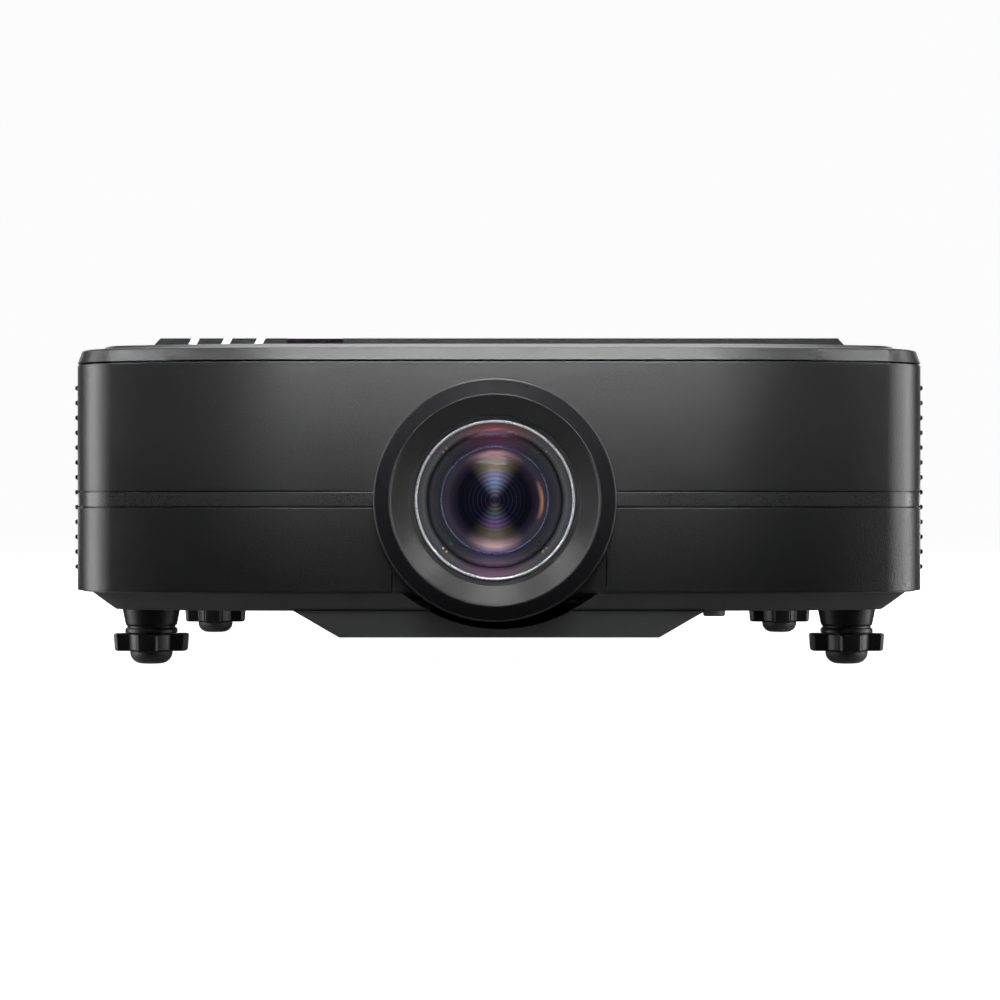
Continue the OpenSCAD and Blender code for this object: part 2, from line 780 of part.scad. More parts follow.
module h_carriage() {
    color(ALLOY) difference() {
        union() {
            span([lens_x - 58, h_plate_y[0], lens_z - 44], [lens_x + 58, h_plate_y[1], lens_z + 44]);
            for (s = [-1, 1]) for (u = [-1, 1]) {
                bar_x(h_rod_y, lens_z + s * h_rod_dz, 6.5, lens_x + u * 30 - 10, lens_x + u * 30 + 10);
                span([lens_x + u * 30 - 10, h_plate_y[1] - 1, lens_z + s * h_rod_dz - 4],
                    [lens_x + u * 30 + 10, h_rod_y, lens_z + s * h_rod_dz + 4]);
            }
            bar_x(h_rod_y, lens_z + h_lead_dz, 5.5, lens_x + 23, lens_x + 37);
            span([lens_x + 23, h_plate_y[1] - 1, lens_z + h_lead_dz - 4],
                [lens_x + 37, h_rod_y, lens_z + h_lead_dz + 4]);
        }
        bar_y(lens_x, lens_z, snout_r + 0.2, front_y + 100, front_y + 150);
        for (s = [-1, 1]) bar_x(h_rod_y, lens_z + s * h_rod_dz, rod_r + 0.06, -90, 90);
        bar_x(h_rod_y, lens_z + h_lead_dz, lead_r + 0.06, -90, 90);
    }
}

block_x = [72, 84];

module v_carriage() {
    color(STEEL) difference() {
        union() {
            span([-92, v_plate_y[0], lens_z - 46], [92, v_plate_y[1], lens_z + 46]);
            span([84, v_plate_y[0], lens_z - 9], [v_lead_x, v_plate_y[1], lens_z + 9]);
            both_sides() {
                span([block_x[0], h_rod_y - 6, lens_z - 46], [block_x[1], v_plate_y[0] + 1, lens_z + 46]);
                bar_z(v_rod_x, v_rod_y, 6.5, lens_z - 15, lens_z + 15);
            }
            for (s = [-1, 1]) bar_x(h_rod_y, lens_z + s * h_rod_dz, rod_r, -block_x[1] + 2, block_x[1] - 2);
            bar_z(v_lead_x, v_rod_y, 6.5, lens_z - 9, lens_z + 9);
        }
        bar_y(0, lens_z, 34, front_y + 100, front_y + 150);
        both_sides() bar_z(v_rod_x, v_rod_y, rod_r + 0.06, lens_z - 20, lens_z + 20);
        bar_z(v_lead_x, v_rod_y, lead_r + 0.06, lens_z - 20, lens_z + 20);
        bar_x(h_rod_y, lens_z + h_lead_dz, lead_r + fit, block_x[0] - 1, block_x[1] + 1);
        bar_x(h_rod_y, lens_z + h_lead_dz, lead_r + fit, -block_x[1] + 4, -block_x[0] + 1);
    }
}

module shift_base() {
    color(STEEL) difference() {
        union() {
            span([-112, base_plate_y[0], base_z[0]], [132, base_plate_y[1], base_z[3]]);
            span([-112, v_rod_y - 9, base_z[0]], [132, base_plate_y[1], base_z[1]]);
            span([-112, v_rod_y - 9, base_z[2]], [132, base_plate_y[1], base_z[3]]);
            both_sides() bar_z(v_rod_x, v_rod_y, rod_r, base_z[0] + 1, base_z[3] - 1);
            legs([for (x = [-100, 100]) for (y = [-106, -94]) [x, y]], base_z[0] + 1);
        }
        bar_y(0, hole_z, 34, front_y + 145, front_y + 165);
        bar_z(v_lead_x, v_rod_y, lead_r + fit, base_z[0] + 2, base_z[3] + 2);
    }
}

module v_screw() {
    color(BRASS) bar_z(v_lead_x, v_rod_y, lead_r, base_z[0] + 3, base_z[3] + 5);
}

module v_motor() {
    color(DEEP) difference() {
        bar_z(v_lead_x, v_rod_y, 14, base_z[3] + 0.1, base_z[3] + 16);
        bar_z(v_lead_x, v_rod_y, lead_r + fit, base_z[3] - 1, base_z[3] + 6);
    }
}

module h_screw() {
    color(BRASS) bar_x(h_rod_y, lens_z + h_lead_dz, lead_r, -block_x[1] + 5, block_x[1] + 5);
}

module h_motor() {
    color(DEEP) difference() {
        bar_x(h_rod_y, lens_z + h_lead_dz, 8, block_x[1] + 0.1, block_x[1] + 24);
        bar_x(h_rod_y, lens_z + h_lead_dz, lead_r + fit, block_x[1] - 1, block_x[1] + 6);
    }
}

// ---- Light engine
ENGINE = [[-75, -82, 48], [75, 50, 142]];
wheel_y = -20;
wheel_z = 95;
shaft_r = 2;

module engine_housing() {
    color(ALLOY) {
        difference() {
            span(ENGINE[0], ENGINE[1]);
            span(ENGINE[0] + [3, 3, 3], ENGINE[1] - [3, 3, 3]);
            bar_y(0, hole_z, 28, ENGINE[0][1] - 1, ENGINE[0][1] + 4);
            span([-20, ENGINE[1][1] - 4, 80], [20, ENGINE[1][1] + 1, 110]);
            span([ENGINE[1][0] - 4, -70, 85], [ENGINE[1][0] + 1, -55, 105]);
        }
        bar_x(wheel_y, wheel_z, shaft_r, ENGINE[1][0] - 2, ENGINE[1][0] + 18);
        legs([for (x = [-65, 65]) for (y = [-72, 40]) [x, y]], ENGINE[0][2] + 1);
    }
}

module dmd_board() {
    color(BOARD) {
        span([-50, 50.2, 62], [50, 52, 128]);
        span([-30, 51.9, 75], [30, 56, 115]);
        for (x = [-27:6:27]) span([x - 1, 55.9, 75], [x + 1, 76, 115]);
    }
}

module phosphor_wheel() {
    color(STEEL) difference() {
        union() {
            bar_x(wheel_y, wheel_z, 32, 88, 89.4);
            bar_x(wheel_y, wheel_z, 10, 79, 97);
        }
        bar_x(wheel_y, wheel_z, shaft_r + fit, 70, 95);
    }
}

module laser_module() {
    color(ALLOY) difference() {
        span([102, -62, 50], [172, 28, 122]);
        for (z = [72, 100]) for (y = [-45, -25]) bar_x(y, z, 5, 90, 108);
        for (z = [72, 100]) bar_y(140, z, 3.1, 20, 40);
    }
    color(ALLOY) legs([[112, -52], [162, -52], [112, 18], [162, 18]], 51);
}

SINK = [[104, 44, 52], [194, 134, 150]];

module heat_sink() {
    color(ALLOY) {
        span(SINK[0], [SINK[1][0], SINK[0][1] + 8, SINK[1][2]]);
        for (i = [0:13]) translate([SINK[0][0] + 1 + i * 6.6, SINK[0][1] + 7, SINK[0][2]])
            cube([1.6, SINK[1][1] - SINK[0][1] - 7, SINK[1][2] - SINK[0][2]]);
        for (z = [72, 100]) bar_y(140, z, 3, 21, SINK[0][1] + 2);
        legs([[112, 49], [186, 49]], SINK[0][2] + 1);
    }
}

// ---- Cooling fans, drawn for the right side with the axis along X
FAN_X = [206, 231];
fan_y = 90;
fan_z = 108;
fan_bore_r = 57.5;

module fan_frame() {
    difference() {
        span([FAN_X[0], fan_y - fan_side / 2, fan_z - fan_side / 2],
            [FAN_X[1], fan_y + fan_side / 2, fan_z + fan_side / 2]);
        bar_x(fan_y, fan_z, fan_bore_r, FAN_X[0] - 1, FAN_X[1] + 1);
    }
    for (a = [45:90:315]) translate([FAN_X[0], fan_y, fan_z]) rotate([a, 0, 0])
        span([0, 14, -2], [3, fan_bore_r + 1, 2]);
    bar_x(fan_y, fan_z, 18, FAN_X[0], FAN_X[0] + 3);
    bar_x(fan_y, fan_z, shaft_r, FAN_X[0] + 2, FAN_X[0] + 17);
}

module fan_rotor() {
    difference() {
        union() {
            bar_x(fan_y, fan_z, 20, FAN_X[0] + 3.6, FAN_X[0] + 22);
            for (i = [0:fan_blades - 1])
                translate([FAN_X[0] + 12.5, fan_y, fan_z]) rotate([i * 360 / fan_blades, 0, 0])
                    translate([0, 18, 0]) rotate([0, 38, 0]) span([-9, 0, -0.8], [9, 36.5, 0.8]);
        }
        bar_x(fan_y, fan_z, shaft_r + fit, FAN_X[0], FAN_X[0] + 19);
    }
}

module fan_frames() {
    color(DEEP) both_sides() fan_frame();
}

module fan_rotor_right() {
    color(DEEP) fan_rotor();
}

module fan_rotor_left() {
    color(DEEP) mirror([1, 0, 0]) fan_rotor();
}

// ---- Electronics
module main_board() {
    color(BOARD) {
        span([-40, 146, 62], [188, 240, 63.8]);
        span([20, 165, 63.7], [50, 195, 66]);
        span([80, 160, 63.7], [104, 184, 72]);
        span([130, 165, 63.7], [150, 177, 66]);
        for (x = [-30:12:-6]) bar_z(x, 205, 4, 63.7, 74);
        legs([[-30, 156], [178, 156], [-30, 230], [178, 222]], 62.5);
    }
}

module power_supply() {
    color(STEEL) difference() {
        span([-188, 112, 50], [-62, 232, 108]);
        span([-186.5, 113.5, 51.5], [-63.5, 230.5, 106.5]);
        for (i = [0:9]) span([-175 + i * 11, 140, 100], [-170 + i * 11, 205, 112]);
    }
    color(STEEL) legs([for (x = [-180, -70]) for (y = [120, 224]) [x, y]], 51);
}

bottom_pan();
lens_hump();
front_panel();
belt_trim();
lens_surround();
top_cover();
deck_plate();
status_guides();
front_ir_window();
side_cover_left();
side_cover_right();
rear_panel();
video_ports();
data_ports();
power_inlet();
switch_rocker();
keypad_bezel();
power_button();
menu_button();
enter_button();
security_bar();
foot_bosses();
pan_plug();
mount_inserts();
case_screws();
foot_pad_fl();
foot_knob_fl();
foot_pad_fr();
foot_knob_fr();
foot_pad_rl();
foot_knob_rl();
foot_pad_rr();
foot_knob_rr();
lens_cowl();
lens_barrel();
focus_ring();
zoom_ring();
front_element();
element_retainer();
light_baffle();
ring_motors();
focus_pinion();
zoom_pinion();
shift_base();
v_carriage();
h_carriage();
v_screw();
h_screw();
v_motor();
h_motor();
engine_housing();
dmd_board();
phosphor_wheel();
laser_module();
heat_sink();
fan_frames();
fan_rotor_left();
fan_rotor_right();
main_board();
power_supply();
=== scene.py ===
import bpy
import bmesh
import json
import math
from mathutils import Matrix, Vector


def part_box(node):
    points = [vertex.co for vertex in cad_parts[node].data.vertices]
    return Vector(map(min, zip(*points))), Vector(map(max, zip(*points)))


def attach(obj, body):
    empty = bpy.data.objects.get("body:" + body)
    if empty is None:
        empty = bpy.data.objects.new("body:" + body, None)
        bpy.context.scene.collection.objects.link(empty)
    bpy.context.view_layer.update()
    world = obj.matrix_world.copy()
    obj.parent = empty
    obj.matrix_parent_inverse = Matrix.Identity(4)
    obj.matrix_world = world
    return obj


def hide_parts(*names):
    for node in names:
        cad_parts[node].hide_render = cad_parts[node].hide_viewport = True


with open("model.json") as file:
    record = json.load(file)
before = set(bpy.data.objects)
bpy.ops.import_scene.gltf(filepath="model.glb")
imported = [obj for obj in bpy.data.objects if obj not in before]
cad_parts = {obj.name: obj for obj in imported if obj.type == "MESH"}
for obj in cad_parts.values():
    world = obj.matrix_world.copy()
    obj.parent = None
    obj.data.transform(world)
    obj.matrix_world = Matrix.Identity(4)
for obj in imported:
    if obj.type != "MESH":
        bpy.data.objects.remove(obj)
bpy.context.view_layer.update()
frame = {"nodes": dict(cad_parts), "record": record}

MM = 0.001
FULL_TURN, HALF_TURN, QUARTER_TURN = 2 * math.pi, math.pi, math.pi / 2


# ---------------------------------------------------------------- measures
# Lengths of the object are in millimetres; places come from the boxes of the CAD nodes.
def box_mm(node):
    low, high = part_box(node)
    return low / MM, high / MM


PANEL_LO, PANEL_HI = box_mm("front_panel")
COVER_LO = box_mm("side_cover_right")[0]
TOP_HI = box_mm("top_cover")[1]
PAN_LO, PAN_HI = box_mm("bottom_pan")
BELT_LO, BELT_HI = box_mm("belt_trim")
COWL_LO, COWL_HI = box_mm("lens_cowl")
GLASS_LO, GLASS_HI = box_mm("front_element")

HALF_W = PANEL_HI.x
FRONT_Y = PANEL_LO.y
REAR_Y = TOP_HI.y
JOIN_Y = (PANEL_HI.y + COVER_LO.y) / 2  # seam between front panel and side covers
WALL_LOW, WALL_HIGH = PANEL_LO.z, PANEL_HI.z
WALL_T = 3.0
SEAM_GAP = 0.2

# Plan of the case: flat middle, shallow bow, front corner, rear corner
FLAT_X = (0.0, 61.0, 88.0)
FLAT_HALF, BOW_R, CORNER_R, REAR_R = 115.0, 300.0, 37.0, 24.0
BOW_STEPS, CORNER_STEPS, REAR_STEPS, COVER_STEPS = 20, 22, 16, 18
BOW_TURN = math.asin((HALF_W - CORNER_R - FLAT_HALF) / (BOW_R - CORNER_R))

LENS_X, LENS_Z = (COWL_LO.x + COWL_HI.x) / 2, (COWL_LO.z + COWL_HI.z) / 2
LENS_HOLE_R, LENS_HOLE_Z = 57.0, 95.0
AHEAD, BEHIND = FRONT_Y - 5, FRONT_Y + 9  # how far cutters reach past the front wall

BELT_GAP, BELT_DEEP, BELT_ROUND = 0.6, 1.6, 0.35
BELT_END_X = 60.3  # inner ends of the band, hidden by the cowl
GROOVE_BEVEL = 0.55

COVER_Y = (-120.0, 0.0, 120.0)
COVER_LAP = 2  # the side covers reach this far past the rear corner
LOUVRES, LOUVRE_PITCH, LOUVRE_Z, LOUVRE_OUT = 13, 8.59, 56.1, 4.0
LOUVRE_END_Y = REAR_Y - 60
SLOT_COLUMNS, SLOT_PITCH, SLOT_LONG, SLOT_HIGH = 5, 66, 62, 3.29
SLOT_RISE, SLOT_START = 2.2, 22  # above its blade, behind the seam
SLOT_X = (237, 250)  # from inside the wall to past the blades

SMOOTH_ANGLE = 38
MODELLED_BEVEL_ANGLE, CAD_BEVEL_ANGLE, CAD_BEVEL = 32, 40, 0.3


def on_arc(cx, cy, r, a0, a1, n):
    for i in range(n + 1):
        a = a0 + (a1 - a0) * i / n
        yield cx + r * math.cos(a), cy + r * math.sin(a)


def rear_corner(d, steps):
    return list(on_arc(HALF_W - REAR_R, REAR_Y - REAR_R, REAR_R - d, 0, QUARTER_TURN, steps))


def right_outline(d):
    """Right half of the case's plan, from the middle of the front to the rear, drawn in by d."""
    bow_y = FRONT_Y + BOW_R
    corner_y = bow_y - (BOW_R - CORNER_R) * math.cos(BOW_TURN)
    turn = BOW_TURN - QUARTER_TURN
    points = [(x, FRONT_Y + d) for x in FLAT_X]
    points += on_arc(FLAT_HALF, bow_y, BOW_R - d, -QUARTER_TURN, turn, BOW_STEPS)
    points += list(on_arc(HALF_W - CORNER_R, corner_y, CORNER_R - d, turn, 0, CORNER_STEPS))[1:]
    points += [(HALF_W - d, JOIN_Y), (HALF_W - d, 0.0)]
    return points + rear_corner(d, REAR_STEPS)


def whole_outline(d):
    right = right_outline(d)
    return right + [(-x, y) for x, y in reversed(right) if x > 0]


def front_half(d):
    """Right half of the front's plan, as far as the seam with the side cover."""
    right = [p for p in right_outline(d) if p[1] <= JOIN_Y + 1]
    return right[:-1] + [(HALF_W - d, JOIN_Y - SEAM_GAP)]


def front_path(d):
    right = front_half(d)
    return [(-x, y) for x, y in reversed(right)] + right[1:]


def belt_path(side):
    def path(d):
        right = [p for p in front_half(d) if p[0] > BELT_END_X]
        return [(side * x, y) for x, y in [(BELT_END_X, FRONT_Y + d)] + right[1:]]
    return path


def cover_path(side):
    def path(d):
        end_x = HALF_W - REAR_R - COVER_LAP
        points = [(HALF_W - d, y) for y in (JOIN_Y + SEAM_GAP, *COVER_Y)]
        points += [p for p in rear_corner(d, COVER_STEPS) if p[0] >= end_x]
        return [(side * x, y) for x, y in points + [(end_x, REAR_Y - d)]]
    return path


# ---------------------------------------------------------------- mesh helpers
def link_object(name, data):
    obj = bpy.data.objects.new(name, data)
    bpy.context.scene.collection.objects.link(obj)
    return obj


def mesh_from(name, bm, scale=1.0):
    mesh = bpy.data.meshes.new(name)
    for v in bm.verts:
        v.co = v.co * scale
    bm.to_mesh(mesh)
    bm.free()
    return mesh


def mesh_from_mm(name, bm):
    bmesh.ops.recalc_face_normals(bm, faces=bm.faces)
    return mesh_from(name, bm, MM)


def ease_edges(obj, width, angle):
    """Rounds the edges that are sharper than the angle by a width in millimetres."""
    mod = obj.modifiers.new("edges", "BEVEL")
    mod.width = width * MM
    mod.segments = 2
    mod.limit_method = "ANGLE"
    mod.angle_limit = math.radians(angle)
    return mod


def shade(mesh, angle):
    mesh.shade_smooth()
    mesh.set_sharp_from_angle(angle=math.radians(angle))


def new_object(name, bm, material, body="case", replaced=(), smooth=SMOOTH_ANGLE,
               bevel=0.0):
    """Piece from a bmesh in millimetres, riding a body."""
    obj = link_object(name, mesh_from_mm(name, bm))
    obj.data.materials.append(MATS[material])
    if bevel:
        ease_edges(obj, bevel, MODELLED_BEVEL_ANGLE).harden_normals = True
    shade(obj.data, smooth)
    even = obj.modifiers.new("even_shading", "WEIGHTED_NORMAL")
    even.weight = 90
    even.keep_sharp = True
    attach(obj, body)
    if replaced:
        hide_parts(*replaced)
    return obj


def add_loop(bm, points):
    return [bm.verts.new(Vector(p)) for p in points]


def bridge(bm, a, b, closed=True):
    n = len(a)
    for i in range(n if closed else n - 1):
        j = (i + 1) % n
        bm.faces.new((a[i], a[j], b[j], b[i]))


def skin(bm, loops):
    """Closed solid over a row of loops, capped at both ends."""
    for a, b in zip(loops, loops[1:]):
        bridge(bm, a, b)
    bm.faces.new(list(reversed(loops[0])))
    bm.faces.new(loops[-1])
    return bm


def loft(levels):
    """Solid through levels (inset, z) of the case's plan."""
    bm = bmesh.new()
    return skin(bm, [add_loop(bm, [(x, y, z) for x, y in whole_outline(d)]) for d, z in levels])


def sweep(profile, path_of, bm=None):
    """Profile of (inset, z) carried along an open path; path_of(inset) gives the path's points."""
    bm = bm or bmesh.new()
    rows = [path_of(d) for d, z in profile]
    heights = [z for d, z in profile]
    return skin(bm, [add_loop(bm, [(x, y, z) for (x, y), z in zip(section, heights)])
                     for section in zip(*rows)])


def lathe(points, axis="Z", centre=(0, 0, 0), n=128, closed=True, bm=None):
    """Turned solid; points are (radius, height) along the axis."""
    bm = bm or bmesh.new()
    loops = []
    for i in range(n):
        a = FULL_TURN * i / n
        spokes = [(r * math.cos(a), r * math.sin(a), h) for r, h in points]
        ring = [(u, v, h) if axis == "Z" else (u, h, v) for u, v, h in spokes]
        loops.append(add_loop(bm, [Vector(centre) + Vector(p) for p in ring]))
    for i in range(n):
        bridge(bm, loops[i], loops[(i + 1) % n], closed)
    bmesh.ops.remove_doubles(bm, verts=bm.verts, dist=1e-5)
    return bm


def rod(r, low, high):
    """Profile of a plain round rod, for lathe."""
    return [(0, low), (r, low), (r, high), (0, high)]


def dome(r, apex, ball, steps, count):
    """Profile of a dome of radius r cut from a ball, for lathe."""
    radii = [r * i / steps for i in range(count)]
    return [(k, apex + ball - math.sqrt(ball * ball - k ** 2)) for k in radii]


def add_box(bm, lo, hi):
    for v in bmesh.ops.create_cube(bm, size=1)["verts"]:
        v.co = Vector([lo[k] if v.co[k] < 0 else hi[k] for k in range(3)])


def prism(bm, outline, w0, w1, place):
    """Solid between two copies of an outline; place turns (u, v, w) into a point."""
    skin(bm, [add_loop(bm, [place((u, v, w)) for u, v in outline]) for w in (w0, w1)])


def cut(obj, cutter_bm):
    """Takes the cutter, in millimetres, out of a piece for good."""
    cutter = link_object("cutter", mesh_from_mm("cutter", cutter_bm))
    bare = link_object("bare", obj.data.copy())
    mod = bare.modifiers.new("cut", "BOOLEAN")
    mod.operation = "DIFFERENCE"
    mod.solver = "EXACT"
    mod.object = cutter
    bpy.context.view_layer.update()
    depsgraph = bpy.context.evaluated_depsgraph_get()
    done = bpy.data.meshes.new_from_object(bare.evaluated_get(depsgraph))
    done.name = obj.data.name
    obj.data = done
    shade(done, SMOOTH_ANGLE)
    for used in (cutter, bare):
        bpy.data.objects.remove(used)


# ---------------------------------------------------------------- shader helpers
def new_material(name):
    """Node material with its tree, its shader and its object coordinates."""
    mat = bpy.data.materials.new(name)
    mat.use_nodes = True
    tree = mat.node_tree
    coords = tree.nodes.new("ShaderNodeTexCoord").outputs["Object"]
    return mat, tree, tree.nodes["Principled BSDF"], coords


def preset(node, **values):
    """Constants on sockets; an underscore stands for the space in a socket's name."""
    for key, value in values.items():
        node.inputs[key.replace("_", " ")].default_value = value


def feed(tree, socket, value):
    """Links an output to a socket, or sets the socket to a constant."""
    if isinstance(value, bpy.types.NodeSocket):
        tree.links.new(value, socket)
    else:
        socket.default_value = value


def noise(tree, coords, scale, detail=3.0, rough=0.55, stretch=None):
    if stretch:
        mapping = tree.nodes.new("ShaderNodeMapping")
        preset(mapping, Scale=stretch)
        tree.links.new(coords, mapping.inputs["Vector"])
        coords = mapping.outputs["Vector"]
    n = tree.nodes.new("ShaderNodeTexNoise")
    preset(n, Scale=scale, Detail=detail, Roughness=rough)
    tree.links.new(coords, n.inputs["Vector"])
    return n.outputs["Fac"]


def remap(tree, value, low, high, from_low=0.3, from_high=0.7):
    n = tree.nodes.new("ShaderNodeMapRange")
    preset(n, From_Min=from_low, From_Max=from_high, To_Min=low, To_Max=high)
    tree.links.new(value, n.inputs["Value"])
    return n.outputs["Result"]


def mix_colour(tree, factor, a, b):
    n = tree.nodes.new("ShaderNodeMix")
    n.data_type = "RGBA"
    for key, value in (("Factor", factor), ("A", a), ("B", b)):
        feed(tree, n.inputs[key], value)
    return n.outputs["Result"]


def maths(tree, operation, *values):
    n = tree.nodes.new("ShaderNodeMath")
    n.operation = operation
    for socket, value in zip(n.inputs, values):
        feed(tree, socket, value)
    return n.outputs["Value"]


def vector_maths(tree, operation, vector, other, socket=1):
    n = tree.nodes.new("ShaderNodeVectorMath")
    n.operation = operation
    tree.links.new(vector, n.inputs[0])
    feed(tree, n.inputs[socket], other)
    return n.outputs["Vector"]


def relief(tree, bsdf, height, strength, distance):
    bump = tree.nodes.new("ShaderNodeBump")
    preset(bump, Strength=strength, Distance=distance)
    tree.links.new(height, bump.inputs["Height"])
    tree.links.new(bump.outputs["Normal"], bsdf.inputs["Normal"])


# ---------------------------------------------------------------- materials
def scaled(colour, k):
    return tuple(min(1.0, c * k) for c in colour[:3]) + (1.0,)


def surface(name, colour, rough, grain, bump, metallic=0.0, spread=0.12, wear=1.8, coat=0.0,
            stretch=None, sheen=0.0, specular=0.5):
    """Moulded, painted or metal surface.

    Its colour drifts, a grain shows in its gloss and relief, and its edges are worn paler.
    """
    mat, tree, bsdf, coords = new_material(name)
    fine = noise(tree, coords, grain, 2.0, 0.6, stretch)
    broad = noise(tree, coords, 22.0, 4.0, 0.6)
    drift = mix_colour(tree, remap(tree, broad, 0.0, 1.0),
                       scaled(colour, 1 - spread), scaled(colour, 1 + spread))
    convex = tree.nodes.new("ShaderNodeNewGeometry").outputs["Pointiness"]
    edge = remap(tree, convex, 0.0, 0.7, 0.53, 0.62)
    tree.links.new(mix_colour(tree, edge, drift, scaled(colour, wear)), bsdf.inputs["Base Color"])
    gloss = maths(tree, "ADD", remap(tree, broad, -0.02, 0.02),
                  remap(tree, fine, rough - 0.05, rough + 0.05))
    tree.links.new(gloss, bsdf.inputs["Roughness"])
    relief(tree, bsdf, fine, bump, 0.0002)
    preset(bsdf, Metallic=metallic, Specular_IOR_Level=specular, Coat_Weight=coat,
           Coat_Roughness=0.1, Sheen_Weight=sheen)
    return mat


# Colour, roughness, scale of the grain, relief, and what differs from the defaults
SURFACES = {
    "case_black": ((0.009, 0.009, 0.0095), 0.34, 1200, 0.55, {}),
    # cowl_black is a lighter copy of case_black: painted light that lifts the cowl's shaded sides.
    "cowl_black": ((0.018, 0.018, 0.019), 0.37, 1100, 0.6, {}),
    "band_black": ((0.005, 0.005, 0.006), 0.5, 1200, 0.2, {"specular": 0.12}),
    "pan_black": ((0.085, 0.085, 0.088), 0.5, 900, 0.4, {}),
    "trim_black": ((0.018, 0.018, 0.019), 0.3, 1200, 0.1, {}),
    "deck_black": ((0.007, 0.007, 0.008), 0.5, 1200, 0.4, {"specular": 0.16}),
    "ir_window": ((0.006, 0.004, 0.006), 0.1, 800, 0.02, {"coat": 0.6}),
    "port_metal": ((0.55, 0.55, 0.57), 0.34, 700, 0.1, {"metallic": 1.0, "wear": 1.3}),
    "inlet_black": ((0.018, 0.018, 0.019), 0.35, 1000, 0.12, {}),
    "button_grey": ((0.09, 0.09, 0.095), 0.4, 1200, 0.15, {"wear": 1.6}),
    "sheet_steel": ((0.5, 0.51, 0.53), 0.32, 500, 0.12,
                    {"metallic": 1.0, "wear": 1.25, "stretch": (1, 12, 1)}),
    "plug_grey": ((0.34, 0.34, 0.34), 0.45, 900, 0.15, {"wear": 1.3}),
    "insert_brass": ((0.66, 0.47, 0.2), 0.3, 600, 0.12, {"metallic": 1.0, "wear": 1.3}),
    "pad_rubber": ((0.014, 0.014, 0.014), 0.6, 700, 0.35, {"wear": 1.5, "sheen": 0.2}),
    "knob_black": ((0.008, 0.008, 0.009), 0.4, 1100, 0.3, {"specular": 0.35}),
    "barrel_black": ((0.02, 0.02, 0.021), 0.45, 1300, 0.15, {}),
    "retainer_silver": ((0.8, 0.81, 0.84), 0.3, 900, 0.05, {"metallic": 0.5, "wear": 1.1}),
    "ring_violet": ((0.15, 0.16, 0.27), 0.3, 900, 0.05, {"metallic": 0.5, "wear": 1.1}),
    "cast_alloy": ((0.4, 0.41, 0.43), 0.5, 420, 0.45, {"metallic": 1.0, "wear": 1.3}),
    "board_green": ((0.015, 0.09, 0.045), 0.35, 260, 0.3, {"wear": 1.5, "coat": 0.4}),
    "motor_black": ((0.03, 0.03, 0.032), 0.38, 800, 0.15, {}),
    "fan_black": ((0.016, 0.016, 0.017), 0.42, 1000, 0.15, {}),
    "light_guide": ((0.9, 0.91, 0.92), 0.35, 900, 0.1, {"wear": 1.05, "spread": 0.04}),
}
MATS = {name: surface(name, *row[:-1], **row[-1]) for name, row in SURFACES.items()}
# Painted glow: the light guides glow by emission, though their lights are off.
preset(MATS["light_guide"].node_tree.nodes["Principled BSDF"],
       Subsurface_Weight=0.4, Subsurface_Scale=0.002,
       Emission_Color=(0.95, 0.98, 1.0, 1.0), Emission_Strength=0.45)

OPTICS_R = 44.0
# Painted reflections of the lights, tinted by the coatings, from the axis out to the rim: (radius
# in mm, red, green, blue)
REFLECTED_ABOVE = [
    (0, 0.007, 0.007, 0.02), (4.4, 0.07, 0.065, 0.08), (9, 0.10, 0.14, 0.22),
    (14.5, 0.15, 0.14, 0.24), (18.5, 0.16, 0.145, 0.07), (23, 0.16, 0.13, 0.08),
    (26.4, 0.38, 0.22, 0.21), (28.2, 0.06, 0.03, 0.07), (34, 0.06, 0.016, 0.036),
    (37.4, 0.055, 0.01, 0.015), (39.8, 0.17, 0.06, 0.07), (43, 0.1, 0.035, 0.04)]
REFLECTED_BELOW = [
    (0, 0.007, 0.007, 0.02), (3.5, 0.05, 0.04, 0.035), (8, 0.032, 0.055, 0.07),
    (13.5, 0.09, 0.045, 0.13), (17.5, 0.078, 0.076, 0.04), (21.5, 0.12, 0.09, 0.07),
    (25.8, 0.46, 0.31, 0.31), (28.4, 0.16, 0.13, 0.21), (30.6, 0.02, 0.018, 0.045),
    (35.2, 0.1, 0.065, 0.09), (37.4, 0.03, 0.015, 0.03), (40.5, 0.13, 0.075, 0.115),
    (43, 0.13, 0.1, 0.12)]
# Beside the axis the painted reflections die away to dark.
REFLECTED_BESIDE = [
    (0, 0.007, 0.007, 0.02), (3, 0.002, 0.002, 0.005), (19.5, 0.0015, 0.0015, 0.004),
    (24, 0.015, 0.012, 0.02), (26.4, 0.03, 0.028, 0.035), (28.6, 0.03, 0.025, 0.035),
    (30.8, 0.015, 0.016, 0.02), (35.5, 0.027, 0.027, 0.03), (37.4, 0.005, 0.005, 0.008),
    (39.8, 0.07, 0.07, 0.065), (43, 0.04, 0.04, 0.05)]
# Painted glint: an amber sliver at the right-hand side of the glasses.
AMBER_GLINT = [(24.4, 0.0, 0.0, 0.0), (26.2, 0.3, 0.12, 0.05), (27.6, 0.0, 0.0, 0.0)]
# The band of painted reflections above and below the axis.
BAND_SLOPE, BAND_HALF = 0.74, 2.5  # the tinted band widens with the height, from this half width
RING_STEP = 2.3
RING_FADE = (12, 19)  # radii over which the fine rings die away


def ramp(tree, value, stops):
    """Colour over radius; stops are (radius in mm, red, green, blue)."""
    n = tree.nodes.new("ShaderNodeValToRGB")
    elements = n.color_ramp.elements
    while len(elements) < len(stops):
        elements.new(1.0)
    for element, (radius, *rgb) in zip(elements, stops):
        element.position = radius / OPTICS_R
        element.color = (*rgb, 1.0)
    tree.links.new(value, n.inputs["Fac"])
    return n.outputs["Color"]


